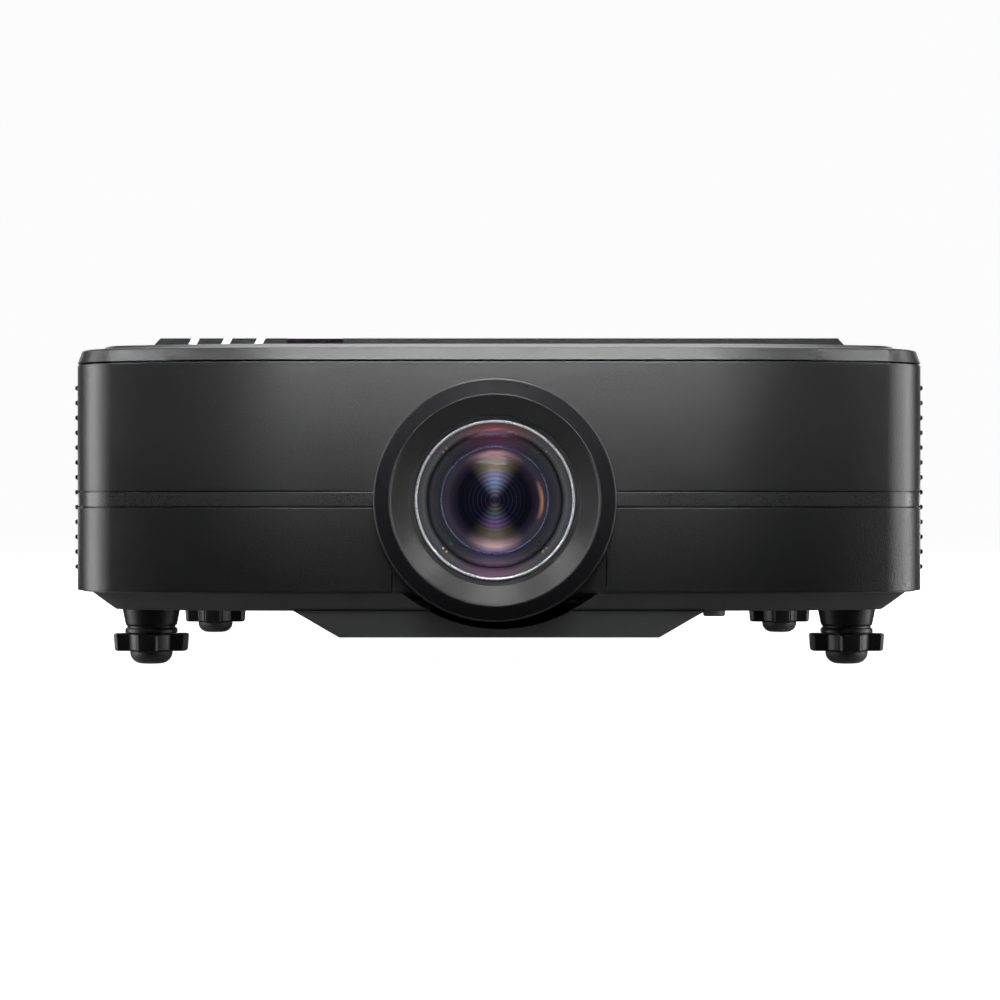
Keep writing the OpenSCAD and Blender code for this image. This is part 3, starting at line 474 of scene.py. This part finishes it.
def reflection_sector(tree, x, z, way):
    """Share of the painted reflections above (way 1) or below (way -1) the axis, in a band widening
    outwards.
    """
    slope = maths(tree, "MULTIPLY", maths(tree, "ABSOLUTE", z), BAND_SLOPE)
    width = maths(tree, "ADD", slope, BAND_HALF * MM)
    aside = maths(tree, "DIVIDE", maths(tree, "ABSOLUTE", x), width)
    fade = remap(tree, aside, 1.0, 0.0, 0.15, 1.05)
    half = remap(tree, maths(tree, "MULTIPLY", z, way), 0.0, 1.0, -0.5 * MM, 1.5 * MM)
    return maths(tree, "MULTIPLY", maths(tree, "MULTIPLY", fade, fade), half)


def coating(tree, coords):
    """Painted reflections of the lights on the coated glasses: tints by radius round the lens axis,
    above and below it, with a painted amber glint and fine rings with painted highlights.
    """
    centred = vector_maths(tree, "SUBTRACT", coords, (LENS_X * MM, 0, LENS_Z * MM))
    axes = tree.nodes.new("ShaderNodeSeparateXYZ")
    tree.links.new(centred, axes.inputs["Vector"])
    x, z = axes.outputs["X"], axes.outputs["Z"]
    squares = [maths(tree, "MULTIPLY", axis, axis) for axis in (x, z)]
    radius = maths(tree, "SQRT", maths(tree, "ADD", *squares))
    wobble = remap(tree, noise(tree, coords, 60.0, 2.0), -0.0004, 0.0004)
    share = maths(tree, "DIVIDE", maths(tree, "ADD", radius, wobble), OPTICS_R * MM)
    # Painted reflections: tints above and below the axis, darker beside it.
    upper = mix_colour(tree, reflection_sector(tree, x, z, 1), ramp(tree, share, REFLECTED_BESIDE),
                       ramp(tree, share, REFLECTED_ABOVE))
    reflection_tints = mix_colour(tree, reflection_sector(tree, x, z, -1), upper, ramp(tree, share, REFLECTED_BELOW))
    across = maths(tree, "DIVIDE", x, maths(tree, "MAXIMUM", radius, 0.0001))
    # Painted glint: amber at the right-hand edge of each radius.
    glint = mix_colour(tree, remap(tree, across, 0.0, 1.0, 0.9, 0.995), (0.0, 0.0, 0.0, 1.0),
                       ramp(tree, share, AMBER_GLINT))
    rings = maths(tree, "SINE", maths(tree, "MULTIPLY", radius, FULL_TURN / (RING_STEP * MM)))
    near = remap(tree, radius, 0.25, 0.03, RING_FADE[0] * MM, RING_FADE[1] * MM)
    level = maths(tree, "ADD", maths(tree, "MULTIPLY", rings, near), 1.0)
    # Painted highlight: a bluish line on the crest of each fine ring.
    highlight_crest = maths(tree, "POWER", maths(tree, "MAXIMUM", rings, 0.0), 6.0)
    ring_highlight = mix_colour(tree, maths(tree, "MULTIPLY", highlight_crest, near), glint, (0.03, 0.045, 0.11, 1.0))
    return vector_maths(tree, "ADD", vector_maths(tree, "SCALE", reflection_tints, level, "Scale"), ring_highlight)


def optics_material(name, gloss, bump=0.05):
    """Coated glass or satin metal inside the lens; it glows with the painted reflections as
    emission, over a much darker base.
    """
    mat, tree, bsdf, coords = new_material(name)
    # Painted reflections, shown as emission at full strength: a glow, though nothing inside the
    # lens is a lamp.
    colour = coating(tree, coords)
    dark = mix_colour(tree, 0.9, colour, (0.002, 0.002, 0.003, 1.0))
    rough = remap(tree, noise(tree, coords, 900.0), gloss, gloss + 0.08)
    for socket, value in (("Base Color", dark), ("Emission Color", colour), ("Roughness", rough)):
        tree.links.new(value, bsdf.inputs[socket])
    relief(tree, bsdf, noise(tree, coords, 1200.0), bump, 0.0001)
    preset(bsdf, Emission_Strength=1.0, Specular_IOR_Level=0.05)
    return mat


def glass_material(name):
    """Front glass: clear, with a faint violet coating and a trace of dust in its gloss."""
    mat, tree, bsdf, coords = new_material(name)
    dust = noise(tree, coords, 180.0, 6.0, 0.7)
    tint = mix_colour(tree, remap(tree, dust, 0.0, 1.0), (0.96, 0.96, 1.0, 1.0),
                      (0.88, 0.88, 0.97, 1.0))
    tree.links.new(tint, bsdf.inputs["Base Color"])
    tree.links.new(remap(tree, dust, 0.0, 0.02), bsdf.inputs["Roughness"])
    preset(bsdf, Transmission_Weight=1.0, IOR=1.1, Specular_Tint=(0.75, 0.6, 0.95, 1.0))
    return mat


MATS["optics_deep"] = optics_material("optics_deep", 0.16)
MATS["optics_matt"] = optics_material("optics_matt", 0.45, 0.2)
MATS["lens_glass"] = glass_material("lens_glass")


# ---------------------------------------------------------------- case
def build_front_panel():
    """Bowed front wall with a groove for the trim band and openings for the lens and its plate."""
    low, high = BELT_LO.z - BELT_GAP, BELT_HI.z + BELT_GAP
    e, b = 0.45, GROOVE_BEVEL
    profile = [
        (e, WALL_LOW), (0.15, WALL_LOW + 0.12), (0, WALL_LOW + e),
        (0, low - b), (0.12, low - b * 0.45), (b * 0.8, low), (BELT_DEEP, low),
        (BELT_DEEP, high), (0.3, high), (0.1, high + 0.1), (0, high + 0.35),
        (0, WALL_HIGH - 0.9), (0.2, WALL_HIGH - 0.35), (0.7, WALL_HIGH),
        (WALL_T, WALL_HIGH), (WALL_T, WALL_LOW)]
    panel = new_object("front_panel_shell", sweep(profile, front_path), "case_black",
                       replaced=["front_panel"])
    cut(panel, lathe(rod(LENS_HOLE_R, AHEAD, BEHIND), "Y", (0, 0, LENS_HOLE_Z), 160))
    plate_lo, plate_hi = box_mm("lens_surround")
    opening = bmesh.new()
    add_box(opening, (plate_lo.x - 0.6, AHEAD, 30), (plate_hi.x + 0.6, BEHIND, plate_hi.z + 0.4))
    cut(panel, opening)


def build_belt():
    """Trim band in two lengths, left and right of the lens."""
    low, high, r = BELT_LO.z, BELT_HI.z, BELT_ROUND
    face, back = 0.1, BELT_DEEP - 0.1
    profile = [
        (face + r, low), (face + r * 0.3, low + r * 0.3), (face, low + r), (face, high - r),
        (face + r * 0.3, high - r * 0.3), (face + r, high), (back, high), (back, low)]
    bm = bmesh.new()
    for side in (-1, 1):
        sweep(profile, belt_path(side), bm)
    new_object("belt_band", bm, "trim_black", replaced=["belt_trim"])


def build_top_cover():
    """Cover with a leaning, rounded lip round its edge and a low crown inside it."""
    base, lip, crown = 172.2, 179.8, TOP_HI.z
    ease, lean, r = 0.35, 2.1, 1.75
    levels = [(WALL_T + 2, base + 3), (WALL_T, base), (ease, base), (0.1, base + 0.1),
              (0, base + ease)]
    levels += [(lean * t, base + ease + (lip - 1.9 - base) * t) for t in (0.5, 1.0)]
    for a in [QUARTER_TURN * i / 8 for i in range(1, 9)]:
        levels.append((lean + r * 1.25 * (1 - math.cos(a)),
                       lip - r + 0.2 + (r - 0.2) * math.sin(a)))
    levels += [(13.0, lip), (13.6, lip + 0.15), (15.9, crown - 0.2), (16.6, crown)]
    new_object("top_cover_shell", loft(levels), "case_black", replaced=["top_cover"])


def build_side_cover(side, tag):
    """Side wall round the rear corner, slotted, with a row of louvre blades outside it."""
    e = 0.35
    profile = [(e, WALL_LOW), (0, WALL_LOW + e), (0, WALL_HIGH - e), (e, WALL_HIGH),
               (WALL_T, WALL_HIGH), (WALL_T, WALL_LOW)]
    cover = new_object("side_cover_" + tag + "_shell", sweep(profile, cover_path(side)),
                       "case_black", replaced=["side_cover_" + tag])
    slots = bmesh.new()
    x_low, x_high = sorted(side * x for x in SLOT_X)
    for k in range(LOUVRES - 1):
        z = LOUVRE_Z + k * LOUVRE_PITCH + SLOT_RISE
        for column in range(SLOT_COLUMNS):
            y = JOIN_Y + SLOT_START + column * SLOT_PITCH
            add_box(slots, (x_low, y, z), (x_high, y + SLOT_LONG, z + SLOT_HIGH))
    cut(cover, slots)

    blades = bmesh.new()
    out = LOUVRE_OUT
    section = [(0.0, -2.8), (1.0, -2.62), (out - 0.5, -1.42), (out - 0.15, -1.2), (out, -0.85),
               (out, 0.45), (out - 0.15, 0.78), (out - 0.5, 0.95), (1.2, 1.75), (0.0, 2.0)]
    for z in [LOUVRE_Z + k * LOUVRE_PITCH for k in range(LOUVRES)]:
        prism(blades, section, JOIN_Y + SEAM_GAP, LOUVRE_END_Y,
              lambda p, z=z: (side * (HALF_W - 1 + p[0]), p[2], z + p[1]))
    new_object("side_louvres_" + tag, blades, "case_black")


def build_pan():
    """Open tray with sloping edges; the arc for the cowl and the insert holes are cut out of it."""
    low, high, floor_t, wall = PAN_LO.z, 42.2, 2.4, WALL_T + 0.3
    floor_in, rim_in = HALF_W - 220.5, HALF_W - 234.3
    levels = [(floor_in + 0.5, low), (floor_in + 0.1, low + 0.12), (floor_in - 0.4, low + 0.5)]
    for share in (0.35, 0.7, 0.96):
        levels.append((floor_in + (rim_in - floor_in) * share, low + (high - low) * share))
    levels += [(rim_in, high - 0.15), (rim_in + 0.3, high), (wall, high), (wall, PAN_HI.z),
               (WALL_T + 2.3, PAN_HI.z), (rim_in + 3.0, high + 0.5),
               (floor_in + 2.5, low + floor_t)]
    pan = new_object("bottom_pan_shell", loft(levels), "pan_black", replaced=["bottom_pan"])
    arc_x, arc_z, arc_r, hole_r = 0.3, 105.0, 83.2, 6.2
    cut(pan, lathe(rod(arc_r, FRONT_Y - 20, FRONT_Y + 76), "Y", (arc_x, 0, arc_z), 200))
    holes = bmesh.new()
    lo, hi = box_mm("mount_inserts")
    for x in (lo.x + 6, hi.x - 6):
        for y in (lo.y + 6, hi.y - 6):
            lathe(rod(hole_r, low - 2, low + 9), "Z", (x, y, 0), 40, bm=holes)
    cut(pan, holes)


# ---------------------------------------------------------------- feet
BOSS_PROFILE = [
    (0, 31.6), (16.55, 31.6), (16.4, 30.6), (14.9, 23.0), (14.55, 22.2), (13.95, 21.75),
    (13.85, 21.3), (13.95, 20.75), (14.7, 20.35), (15.0, 19.9), (15.05, 18.3), (14.8, 17.85),
    (14.3, 17.7), (0, 17.7)]
# Share of the wings' outline and height, from the bottom up
KNOB_ROWS = [(0.915, 7.3), (0.955, 7.7), (0.975, 8.5), (1.0, 16.4), (0.99, 17.0), (0.965, 17.3)]
STUD_PROFILE = [(0, 17.2), (4.0, 17.2), (4.0, 57.6), (3.4, 58.0), (0, 58.0)]
PAD_R, PAD_ROUND = 5.6, 6.6


def wing_outline():
    """Round hub with four wings whose corners are eased, as seen from below."""
    out = []
    half, tip, hub, ease, nib = 6.5, 21.6, 13.4, 1.6, 0.07
    root = math.sqrt(hub * hub - half * half)
    flank, start = math.asin(half / tip), math.asin(half / hub)
    shoulder = tip * math.cos(flank) - ease
    gap = QUARTER_TURN - 2 * start
    turns = (-flank + nib, -flank + 2 * nib, -flank / 2, 0, flank / 2, flank - 2 * nib,
             flank - nib)
    wing = [(root, -half), (shoulder, -half)]
    wing += [(tip * math.cos(t), tip * math.sin(t)) for t in turns]
    wing += [(shoulder, half), (root, half)]
    wing += [(hub * math.cos(start + gap * f), hub * math.sin(start + gap * f))
             for f in (0.33, 0.67)]
    for a in [k * QUARTER_TURN for k in range(4)]:
        c, s = math.cos(a), math.sin(a)
        out += [(u * c - v * s, u * s + v * c) for u, v in wing]
    return out


def build_boss(x, y, tag):
    """Tapered boss under the case; the first one stands for the CAD node of all four."""
    new_object("foot_boss_" + tag, lathe(BOSS_PROFILE, "Z", (x, y, 0), 96, closed=False),
               "knob_black", replaced=["foot_bosses"] if tag == "fl" else ())


def build_knob(x, y, tag):
    outline = wing_outline()
    bm = bmesh.new()
    skin(bm, [add_loop(bm, [(x + u * k, y + v * k, z) for u, v in outline])
              for k, z in KNOB_ROWS])
    lathe(STUD_PROFILE, "Z", (x, y, 0), 32, closed=False, bm=bm)
    new_object("foot_knob_wings_" + tag, bm, "knob_black", "knob_" + tag,
               ["foot_knob_" + tag], smooth=30, bevel=0.5)


def build_pad(x, y, tag):
    turns = [math.radians(-84 + 9 * i) for i in range(10)]
    points = [(0, 0.0), (4.6, 0.0), (5.2, 0.05)]
    points += [(PAD_R + PAD_ROUND * math.cos(a), PAD_ROUND + PAD_ROUND * math.sin(a))
               for a in turns]
    points += [(12.15, 7.0), (11.6, 7.2), (0, 7.2)]
    new_object("foot_pad_dome_" + tag, lathe(points, "Z", (x, y, 0), 72, closed=False),
               "pad_rubber", "pad_" + tag, ["foot_pad_" + tag])


def build_feet():
    for tag in ("fl", "fr", "rl", "rr"):
        lo, hi = box_mm("foot_pad_" + tag)
        x, y = (lo.x + hi.x) / 2, (lo.y + hi.y) / 2
        build_boss(x, y, tag)
        build_knob(x, y, tag)
        build_pad(x, y, tag)


# ---------------------------------------------------------------- lens
def lens_piece(name, points, material, replaced=(), closed=True, smooth=SMOOTH_ANGLE):
    bm = lathe(points, "Y", (LENS_X, 0, LENS_Z), 192, closed)
    return new_object(name, bm, material, "lens", replaced, smooth)


def round_lens(r, a):
    """Point at a radius and an angle from the lens axis."""
    return LENS_X + r * math.cos(a), 0, LENS_Z + r * math.sin(a)


def build_cowl():
    face, back, r = COWL_LO.y, FRONT_Y - 0.6, 67.1
    lens_piece("lens_cowl_shell", [
        (46.6, back + 6), (45.2, back + 6), (45.2, back - 1.2), (45.9, back - 2.2),
        (47.0, face + 6.3), (47.7, face + 5.5), (56.9, face + 1.0), (57.35, face + 0.55),
        (57.75, face + 0.12), (58.2, face), (58.6, face + 0.35), (66.0, face + 3.0),
        (66.35, face + 2.6), (66.75, face + 2.75), (67.0, face + 3.1), (r, face + 3.6),
        (r, back), (46.6, back)], "cowl_black", ["lens_cowl"])
    lens_piece("lens_cowl_band", [
        (58.5, face + 0.5), (58.9, face + 0.25), (65.7, face + 2.55), (66.1, face + 2.95),
        (64.0, face + 3.4), (59.0, face + 1.5)], "band_black")


def build_retainer():
    middle_r, middle_y, r = 43.85, FRONT_Y - 0.85, 0.75
    turns = [HALF_TURN * i / 10 for i in range(11)]
    crown = [(middle_r + r * math.cos(a), middle_y - r * math.sin(a)) for a in turns]
    lens_piece("front_retainer_ring", crown + [(43.1, FRONT_Y + 2.1), (44.6, FRONT_Y + 2.1)],
               "retainer_silver", ["element_retainer"], smooth=60)


def build_glass():
    front, back, r, ball = GLASS_LO.y, GLASS_HI.y, 43.0, 150.0
    edge = front + ball - math.sqrt(ball * ball - r * r)
    points = dome(r, front, ball, 24, 24)
    points += [(r - 0.35, edge - 0.06), (r, edge + 0.3), (r, back - 0.3), (r - 0.3, back),
               (0, back)]
    glass = lens_piece("front_glass", points, "lens_glass", ["front_element"],
                       closed=False)
    glass.visible_shadow = False


def build_seat(seat):
    """Seat of the front glass, with fine steps."""
    steps = []
    for i in range(6):
        r, y = 37.8 + i * 0.86, seat + 0.22 - 0.03 * (i % 2)
        steps += [(r, y), (r + 0.7, y)]
    lens_piece("glass_seat_ring", [(37.8, seat + 0.32)] + steps + [(42.9, seat + 0.32)],
               "optics_matt")


# Round each screw of the baffle: turn from the screw, radius from the axis, radius of the hole
BAFFLE_HOLES = ((0, 34.4, 1.7), (-0.13, 34.0, 0.75), (0.13, 34.0, 0.75), (-0.2, 35.9, 0.5),
                (0.2, 35.9, 0.5))
SCREW_R = 34.4


def build_baffle(seat, face, back):
    """Stepped plate behind the front glass with its holes, screws and locating pins."""
    plate = lens_piece("baffle_plate", [
        (30.5, face + 0.05), (30.2, face + 0.4), (30.2, back), (38.5, back), (38.5, face + 1.4),
        (37.3, face + 1.2), (37.2, face + 0.1), (36.9, face), (36.6, face + 0.12),
        (31.6, face + 0.12), (31.2, face)], "optics_matt", ["light_baffle"])
    screw = [(0, face + 0.5), (0.35, face + 0.5), (0.45, face + 0.1), (1.0, face + 0.05),
             (1.3, face + 0.3), (1.3, face + 1.2), (0, face + 1.2)]
    pin = [(0, seat + 0.06), (0.45, seat + 0.06), (0.65, seat + 0.16), (0.65, seat + 0.5),
           (0, seat + 0.5)]
    holes, screws, pins = bmesh.new(), bmesh.new(), bmesh.new()
    for quarter in [k * QUARTER_TURN for k in range(4)]:
        middle = math.pi / 4 + quarter
        for turn, r, hole_r in BAFFLE_HOLES:
            lathe(rod(hole_r, face - 1, face + 1.2), "Y", round_lens(r, middle + turn), 20,
                  bm=holes)
        lathe(screw, "Y", round_lens(SCREW_R, middle), 24, closed=False, bm=screws)
        lathe(rod(0.6, face - 1, face + 1.2), "Y", round_lens(33.9, quarter), 16, bm=holes)
        for turn in (-0.035, 0.035):
            lathe(pin, "Y", round_lens(39.3, middle + turn), 16, closed=False, bm=pins)
    cut(plate, holes)
    # Painted shade: a black ring standing for the shadowed gap between the baffle and the glass
    # seat.
    lens_piece("painted_gap_shade_ring", [
        (37.35, face + 0.8), (38.5, face + 0.7), (38.5, face + 1.35), (37.35, face + 1.15)],
        "band_black")
    new_object("baffle_screws", screws, "motor_black", "lens")
    new_object("seat_pins", pins, "insert_brass", "lens")


def build_inner_glasses(face):
    """Thin ring and the domes of the second and third glasses."""
    lens_piece("inner_ring", [
        (29.2, face + 1.9), (29.3, face + 0.2), (29.55, face - 0.2), (29.95, face - 0.2),
        (30.15, face + 0.2), (30.15, face + 1.9)], "ring_violet")
    for name, r, apex, ball, back in (("second_glass", 29.1, face + 0.6, 62.0, 9.5),
                                      ("third_glass", 17.0, face - 0.2, 34.0, 6.0)):
        lens_piece(name, dome(r, apex, ball, 30, 31) + [(r, apex + back), (0, apex + back)],
                   "optics_deep", closed=False)


def build_lens():
    baffle_lo, baffle_hi = box_mm("light_baffle")
    build_cowl()
    build_retainer()
    build_glass()
    build_seat(GLASS_HI.y)
    build_baffle(GLASS_HI.y, baffle_lo.y, baffle_hi.y)
    build_inner_glasses(baffle_lo.y)


def dress_cad_nodes():
    """Material and eased edges for the CAD nodes that no piece replaces."""
    slot_of = {part["node"]: part["material_slot"] for part in frame["record"]["subparts"]}
    for name, obj in frame["nodes"].items():
        if obj.hide_render:
            continue
        obj.data.materials.clear()
        obj.data.materials.append(MATS.get(slot_of[name], MATS["case_black"]))
        ease_edges(obj, CAD_BEVEL, CAD_BEVEL_ANGLE)


# ---------------------------------------------------------------- stage
# From here on lengths are in metres and light in watts.
FACE_Y = -0.246  # front of the case
FLOOR_HALF, DOME_R = 12.0, 11.5

# Name, place, what it points at, size, power, spread in degrees
LIGHTS = [
    ("upper_front", (0, -0.716, 0.847), (0, FACE_Y, 0.1), (0.35, 0.12), 0.4, 60),
    ("behind", (0, 2.3, 1.0), (0, 0.26, 0.09), (3.6, 1.5), 32, 180),
    ("behind_low", (0, 2.2, 0.06), (0, 0.26, 0.09), (3.4, 0.1), 4, 180),
    ("overhead", (0, 0.2, 1.3), (0, 0, 0.1), (1.0, 1.0), 13, 180),
    ("over_front", (0, -0.1, 0.9), (0, -0.15, 0.1), (0.5, 0.3), 2.7, 180),
    ("low_front", (0, -0.9, -0.35), (0, -0.25, 0.05), (0.9, 0.3), 0.06, 180),
    ("under", (0, -0.35, -0.7), (0, -0.25, 0.03), (0.9, 0.4), 0.5, 180),
]
# Upright strips: side, power at each turn forward of square to the case
STRIP_TURNS = (-10, 5, 20)
STRIPS = ((-1, (6.5, 7.2, 2.5)), (1, (8.4, 3.7, 4.2)))
STRIP_AT, STRIP_REACH = 0.22, 1.15
# Level strips in front: name, angle above the height they aim at, reach, that height, size,
# power, spread
KEYS = (("key", 14, 1.1, 0.2, (0.45, 0.08), 0.134, 18),
        ("key", 27, 0.9, 0.2, (0.45, 0.08), 0.105, 24),
        ("lip", 40, 0.8, 0.178, (0.9, 0.05), 0.1, 14))


def area_light(name, place, aim, size, power, spread):
    light = bpy.data.lights.new(name, "AREA")
    light.shape = "RECTANGLE"
    light.size, light.size_y = size
    light.energy = power
    light.spread = math.radians(spread)
    obj = link_object(name, light)
    obj.location = place
    obj.rotation_euler = (Vector(aim) - Vector(place)).to_track_quat("-Z", "Y").to_euler()


def build_lights():
    for side, powers in STRIPS:
        for turn, power in zip(STRIP_TURNS, powers):
            a = math.radians(turn)
            place = (side * (STRIP_AT + STRIP_REACH * math.cos(a)),
                     -STRIP_AT - STRIP_REACH * math.sin(a), 0.2)
            area_light("side", place, (side * STRIP_AT, -STRIP_AT, 0.11), (0.22, 1.2), power, 180)
    for name, rise, reach, height, size, power, spread in KEYS:
        e = math.radians(rise)
        place = (0, FACE_Y - reach * math.cos(e), height + reach * math.sin(e))
        area_light(name, place, (0, FACE_Y, height), size, power, spread)
    for side in (-1, 1):
        area_light("lip_side", (side * 0.78, -0.66, 0.72), (side * 0.2, -0.235, 0.182),
                   (0.55, 0.05), 0.06, 10)
    for row in LIGHTS:
        area_light(*row)


def build_backdrop():
    """Plain pale floor and dome that the camera sees and the object doesn't reflect."""
    mat = new_material("pale_stage")[0]
    preset(mat.node_tree.nodes["Principled BSDF"], Base_Color=(0.9, 0.9, 0.9, 1.0),
           Roughness=0.9, Emission_Color=(1.0, 1.0, 1.0, 1.0), Emission_Strength=0.95)
    floor_bm, dome_bm = bmesh.new(), bmesh.new()
    corners = [(-1, -1), (1, -1), (1, 1), (-1, 1)]
    floor_bm.faces.new(add_loop(floor_bm, [(FLOOR_HALF * x, FLOOR_HALF * y, -0.0005)
                                           for x, y in corners]))
    bmesh.ops.create_icosphere(dome_bm, subdivisions=4, radius=DOME_R)
    for name, bm in (("floor", floor_bm), ("backdrop", dome_bm)):
        obj = link_object(name, mesh_from(name, bm))
        obj.data.materials.append(mat)
        obj.visible_diffuse = False
        obj.visible_glossy = False
        obj.visible_shadow = False
        obj.visible_transmission = False


def build_world():
    scene = bpy.context.scene
    scene.view_settings.view_transform = "Standard"
    scene.world = bpy.data.worlds.new("studio")
    scene.world.use_nodes = True
    preset(scene.world.node_tree.nodes["Background"], Color=(0.9, 0.95, 1.0, 1.0),
           Strength=0.022)


def build_camera():
    """Camera at the photo's angle."""
    data = bpy.data.cameras.new("camera")
    data.sensor_width = 36
    data.lens = 94.03
    data.shift_x, data.shift_y = 0.0095, -0.0034
    camera = link_object("camera", data)
    camera.location = (-0.0049, -1.696, 0.09625)
    camera.rotation_euler = (QUARTER_TURN, 0, 0)
    bpy.context.scene.camera = camera


build_front_panel()
build_belt()
build_top_cover()
build_side_cover(1, "right")
build_side_cover(-1, "left")
build_pan()
build_feet()
build_lens()
dress_cad_nodes()
build_world()
build_backdrop()
build_lights()
build_camera()
